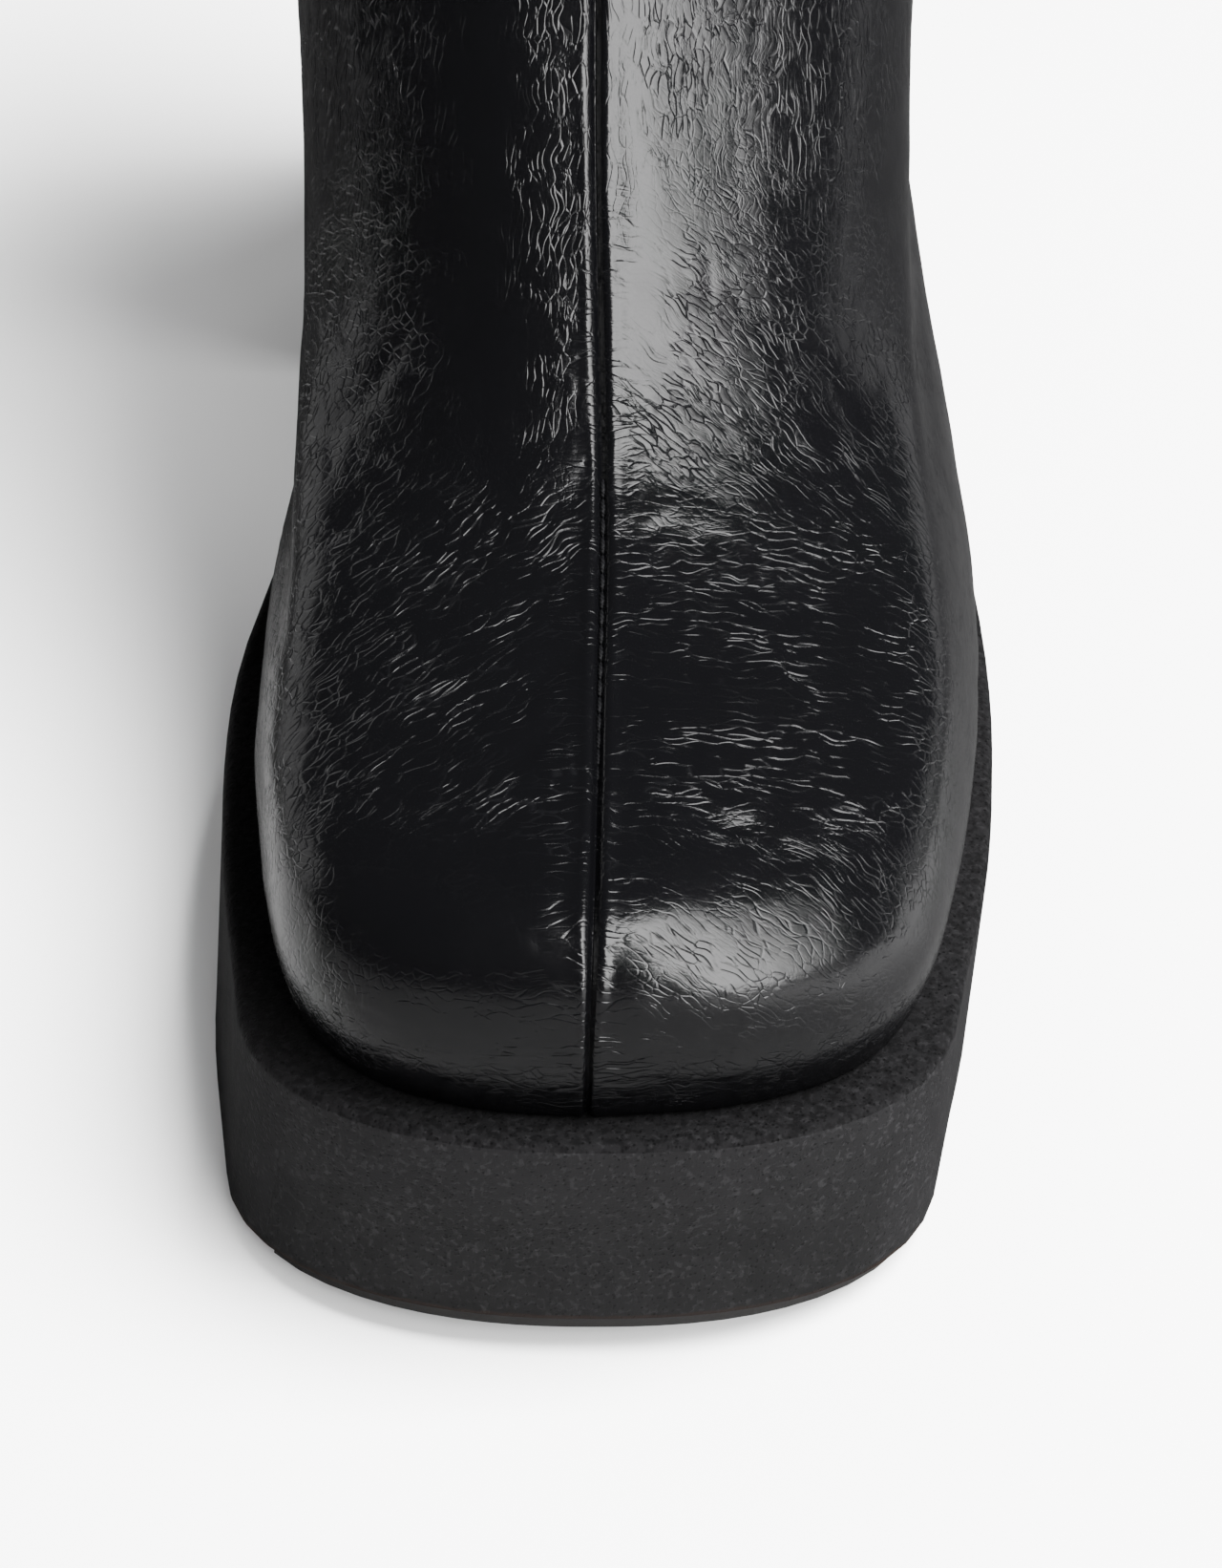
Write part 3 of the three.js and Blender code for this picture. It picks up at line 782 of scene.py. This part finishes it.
class BOOT_OT_lining(bpy.types.Operator):
    """Cloth lining and the leather binding round the collar."""

    bl_idname = "boot.lining"
    bl_label = "Lining and collar"

    def execute(self, context):
        settings = context.scene.boot
        work = rounded(upper_shell(inside=True), 1)
        work.normal_update()
        for vert in work.verts:
            apart = abs(vert.co.x - SEAM)
            if vert.co.y < FRONT_END:
                vert.co += vert.normal * 0.0005 * bell(apart, 0.0, 0.0035)
        bmesh.ops.solidify(work, geom=work.faces[:], thickness=settings.lining_thickness)
        cloth = woven_cloth(settings, "lining_weave", 0.0011)
        add_piece(work, "lining", cloth)
        self.binding(settings)
        return {"FINISHED"}

    def binding(self, settings):
        """A folded strip of leather over the collar's edge."""
        work = node_copy("upper")
        quads_from_rings(work, number_rings(work)[0])
        everything = work.verts[:] + work.edges[:] + work.faces[:]
        bmesh.ops.bisect_plane(
            work, geom=everything, dist=WELD, plane_co=(0.0, 0.0, COLLAR - BINDING_DROP),
            plane_no=(0.0, 0.0, -1.0), clear_outer=True)
        everything = work.verts[:] + work.edges[:] + work.faces[:]
        bmesh.ops.bisect_plane(
            work, geom=everything, dist=WELD, plane_co=(0.0, 0.0, COLLAR - BINDING_EDGE),
            plane_no=(0.0, 0.0, 1.0))
        work = rounded(work, 2)
        work.normal_update()
        for vert, normal in [(vert, vert.normal.copy()) for vert in work.verts]:
            vert.co += normal * 0.00035
        bmesh.ops.solidify(work, geom=work.faces[:], thickness=0.0006)
        material = patent_leather(settings)
        material.name = "binding_leather"
        add_piece(work, "collar_binding", material)


class BOOT_OT_stitches(bpy.types.Operator):
    """Thread in the front seam and round the collar."""

    bl_idname = "boot.stitches"
    bl_label = "Stitches"

    def execute(self, context):
        settings = context.scene.boot
        thread = waxed_thread(settings)
        shell = rounded(upper_shell(inside=False), settings.smoothing)
        front = sorted(
            (
                vert for vert in shell.verts
                if abs(vert.co.x - SEAM) < 0.0001 and vert.co.y < FRONT_END
            ),
            key=lambda vert: front_place(vert.co)[1])
        collar = [vert for vert in shell.verts if vert.co.z > COLLAR - 0.0001]
        seam = [
            vert.co - vert.normal * STITCH_DEPTH + Vector((seam_drift(vert.co), 0.0, 0.0))
            for vert in front
            if FRONT_STITCHES[0] < front_place(vert.co)[1] < FRONT_STITCHES[1]
        ]
        work = bmesh.new()
        self.row(work, seam, settings.stitch_pitch, (0.00034, 0.00145, 0.00030))
        add_piece(work, "front_seam_stitches", thread)
        centre = Vector((SEAM, sum(vert.co.y for vert in collar) / len(collar), 0.0))
        collar.sort(key=lambda vert: math.atan2(vert.co.y - centre.y, vert.co.x - centre.x))
        loop = [vert.co + vert.normal * 0.00036 for vert in collar]
        for point in loop:
            point.z = COLLAR - BINDING_STITCHES
        loop.append(loop[0].copy())
        work = bmesh.new()
        self.row(work, loop, 0.0026, (0.00024, 0.00095, 0.00022))
        add_piece(work, "collar_stitches", thread)
        shell.free()
        return {"FINISHED"}

    def row(self, work, points, pitch, size):
        """Equal stitches along a line of points."""
        walked = 0.0
        wanted = pitch * 0.5
        for start, end in zip(points, points[1:]):
            step = end - start
            while wanted <= walked + step.length:
                place = start + step * ((wanted - walked) / step.length)
                turn = step.to_track_quat("Y", "Z").to_matrix().to_4x4()
                matrix = Matrix.Translation(place) @ turn @ Matrix.Diagonal((*size, 1.0))
                bmesh.ops.create_icosphere(work, subdivisions=1, radius=1.0, matrix=matrix)
                wanted += pitch
            walked += step.length


class BOOT_OT_sole(bpy.types.Operator):
    """Foam platform and heel block with softened edges."""

    bl_idname = "boot.sole"
    bl_label = "Platform and heel"

    def execute(self, context):
        settings = context.scene.boot
        foam = sole_foam(settings)
        for node, name, shoulder in (
            ("platform_midsole", "platform_foam", settings.shoulder),
            ("heel_block", "heel_foam", 0.0004),
        ):
            work = self.softened(node, shoulder)
            add_piece(work, name, foam, [node], sharp=math.radians(38.0))
        return {"FINISHED"}

    def softened(self, node, shoulder):
        """The node with its upper edges rounded."""
        work = node_copy(node)
        bmesh.ops.remove_doubles(work, verts=work.verts, dist=0.00015)
        bmesh.ops.dissolve_limit(
            work, angle_limit=0.02, verts=work.verts, edges=work.edges,
            use_dissolve_boundaries=False)
        work.normal_update()
        edges = [
            edge for edge in work.edges
            if edge.calc_face_angle(0.0) > math.radians(40.0)
            and max(face.normal.z for face in edge.link_faces) > 0.5
        ]
        bmesh.ops.bevel(
            work, geom=edges, offset=shoulder, affect="EDGES", segments=4, profile=0.5,
            material=-1, clamp_overlap=True)
        return work


class BOOT_OT_treads(bpy.types.Operator):
    """Rubber finish for the two treads."""

    bl_idname = "boot.treads"
    bl_label = "Treads"

    def execute(self, context):
        rubber = tread_rubber(context.scene.boot)
        for name in ("front_tread", "heel_top_piece"):
            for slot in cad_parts[name].material_slots:
                slot.material = rubber
        return {"FINISHED"}


class BOOT_OT_footbed(bpy.types.Operator):
    """Cloth-covered footbed."""

    bl_idname = "boot.footbed"
    bl_label = "Footbed"

    def execute(self, context):
        settings = context.scene.boot
        work = node_copy("insole")
        bmesh.ops.dissolve_limit(
            work, angle_limit=0.02, verts=work.verts, edges=work.edges,
            use_dissolve_boundaries=False)
        work.normal_update()
        edges = [edge for edge in work.edges if edge.calc_face_angle(0.0) > math.radians(50.0)]
        bmesh.ops.bevel(
            work, geom=edges, offset=0.0010, affect="EDGES", segments=3, profile=0.5,
            material=-1, clamp_overlap=True)
        cloth = woven_cloth(settings, "footbed_weave", 0.0013)
        add_piece(work, "footbed", cloth, ["insole"], sharp=math.radians(40.0))
        return {"FINISHED"}


LIGHTS = (
    # name, direction, distance, width, height, power, seen in reflections
    ("key_softbox", (0.57, -0.65, 0.54), 1.30, 1.25, 1.65, 84.0, True),
    ("floor_light", (0.48, -0.07, 1.0), 1.5, 0.85, 0.85, 238.0, False),
    ("left_fill", (-0.9, 0.3, 1.0), 1.5, 1.4, 1.4, 7.0, False),
    ("right_fill", (1.0, -0.20, 0.22), 1.3, 0.6, 0.4, 20.0, False),
    ("rear_softbox", (0.35, 1.0, 0.32), 1.5, 0.8, 0.5, 8.0, True),
    ("left_card", (-0.85, 0.65, 0.18), 1.2, 1.6, 0.62, 2.6, True),
    ("right_card", (0.9, 0.55, 0.02), 1.2, 1.4, 0.4, 1.4, True),
)


class BOOT_OT_stage(bpy.types.Operator):
    """Pale floor, soft lights and the camera."""

    bl_idname = "boot.stage"
    bl_label = "Studio"

    def execute(self, context):
        settings = context.scene.boot
        self.floor(settings)
        for lamp in LIGHTS:
            self.soft_light(*lamp)
        self.camera()
        world = bpy.data.worlds.new("studio")
        world.use_nodes = True
        background = world.node_tree.nodes["Background"]
        background.inputs["Color"].default_value = (1.0, 1.0, 1.0, 1.0)
        background.inputs["Strength"].default_value = 0.055
        context.scene.world = world
        return {"FINISHED"}

    def floor(self, settings):
        """Pale paper, made dimmer where glossy leather mirrors it, less so beside the boot: a
        painted reflection, the stage's own doing.
        """
        work = bmesh.new()
        bmesh.ops.create_grid(work, x_segments=1, y_segments=1, size=6.0)
        mesh = bpy.data.meshes.new("studio_floor")
        work.to_mesh(mesh)
        work.free()
        floor = bpy.data.objects.new("studio_floor", mesh)
        bpy.context.scene.collection.objects.link(floor)
        shader = Shader("studio_floor_paper")
        x, y, _ = shader.axes()
        # painted reflection: glossy rays see the floor in the dim colours below
        mirrored = Number(shader, shader.node("ShaderNodeLightPath").outputs["Is Glossy Ray"])
        in_front = [c * 0.065 for c in settings.floor_colour]
        behind = [c * 0.026 for c in settings.floor_colour]
        beside = [c * 0.19 for c in settings.floor_colour]
        dim = shader.blend(y.ramp(-0.14, 0.0), in_front, behind)
        inner_side = x.ramp(-0.045, -0.09) * y.ramp(0.07, 0.01) * y.ramp(-0.16, -0.08)
        outer_side = x.ramp(0.08, 0.22) * y.ramp(0.05, -0.05)
        dim = shader.blend(inner_side, dim, beside)
        dim = shader.blend(outer_side, dim, beside)
        mesh.materials.append(shader.finish({
            "Base Color": shader.blend(mirrored, settings.floor_colour, dim),
            "Roughness": 0.9,
            "Specular IOR Level": 0.1,
        }))

    def soft_light(self, name, direction, distance, width, height, power, glossy):
        """A rectangular light that points at the boot."""
        lamp = bpy.data.lights.new(name, "AREA")
        lamp.shape = "RECTANGLE"
        lamp.size = width
        lamp.size_y = height
        lamp.energy = power
        light = bpy.data.objects.new(name, lamp)
        direction = Vector(direction)
        light.location = Vector(STAGE_AIM) + direction.normalized() * distance
        light.rotation_euler = direction.to_track_quat("Z", "Y").to_euler()
        light.visible_glossy = glossy
        if name == "key_softbox":
            self.fade(lamp)
        bpy.context.scene.collection.objects.link(light)

    def fade(self, lamp):
        """Softens the edges of a light, most of all its outer side."""
        lamp.use_nodes = True
        shader = Shader(tree=lamp.node_tree)
        where = shader.node("ShaderNodeNewGeometry").outputs["Parametric"]
        split = shader.node("ShaderNodeSeparateXYZ", None, {0: where})
        across, above = [Number(shader, output) for output in split.outputs[:2]]
        strength = (
            across.ramp(0.0, 0.05) * across.ramp(1.0, 0.12)
            * above.ramp(0.0, 0.10) * above.ramp(1.0, 0.88)
        )
        shader.feed(lamp.node_tree.nodes["Emission"].inputs["Color"], strength)

    def camera(self):
        """Looks down on the toe from in front."""
        turn, tilt, roll = math.radians(-2.18), math.radians(43.06), math.radians(1.75)
        distance = 0.47026
        aim = Vector((0.00028, -0.06914, 0.0370))
        ahead = Vector((
            -math.sin(turn) * math.cos(tilt),
            math.cos(turn) * math.cos(tilt),
            -math.sin(tilt),
        ))
        right = Vector((math.cos(turn), math.sin(turn), 0.0))
        up = right.cross(ahead)
        across = right * math.cos(roll) + up * math.sin(roll)
        above = -right * math.sin(roll) + up * math.cos(roll)
        lens = bpy.data.cameras.new("front_camera")
        lens.lens = 85.0
        lens.sensor_fit = "VERTICAL"
        lens.sensor_height = 36.0
        camera = bpy.data.objects.new("front_camera", lens)
        matrix = Matrix((across, above, -ahead)).transposed().to_4x4()
        matrix.translation = aim - ahead * distance
        camera.matrix_world = matrix
        bpy.context.scene.collection.objects.link(camera)
        bpy.context.scene.camera = camera


class BOOT_PT_panel(bpy.types.Panel):
    """Builds the boot piece by piece."""

    bl_idname = "BOOT_PT_panel"
    bl_label = "Platform boot"
    bl_space_type = "VIEW_3D"
    bl_region_type = "UI"
    bl_category = "Boot"

    def draw(self, context):
        for name in BootSettings.__annotations__:
            self.layout.prop(context.scene.boot, name)
        for operator in OPERATORS:
            self.layout.operator(operator.bl_idname)


OPERATORS = (
    BOOT_OT_upper,
    BOOT_OT_lining,
    BOOT_OT_stitches,
    BOOT_OT_sole,
    BOOT_OT_treads,
    BOOT_OT_footbed,
    BOOT_OT_stage,
)
CLASSES = (BootSettings, *OPERATORS, BOOT_PT_panel)


def register():
    for kind in CLASSES:
        bpy.utils.register_class(kind)
    bpy.types.Scene.boot = PointerProperty(type=BootSettings)


def unregister():
    del bpy.types.Scene.boot
    for kind in reversed(CLASSES):
        bpy.utils.unregister_class(kind)


def main():
    register()
    bpy.ops.boot.upper()
    bpy.ops.boot.lining()
    bpy.ops.boot.stitches()
    bpy.ops.boot.sole()
    bpy.ops.boot.treads()
    bpy.ops.boot.footbed()
    bpy.ops.boot.stage()


if __name__ == "__main__":
    main()
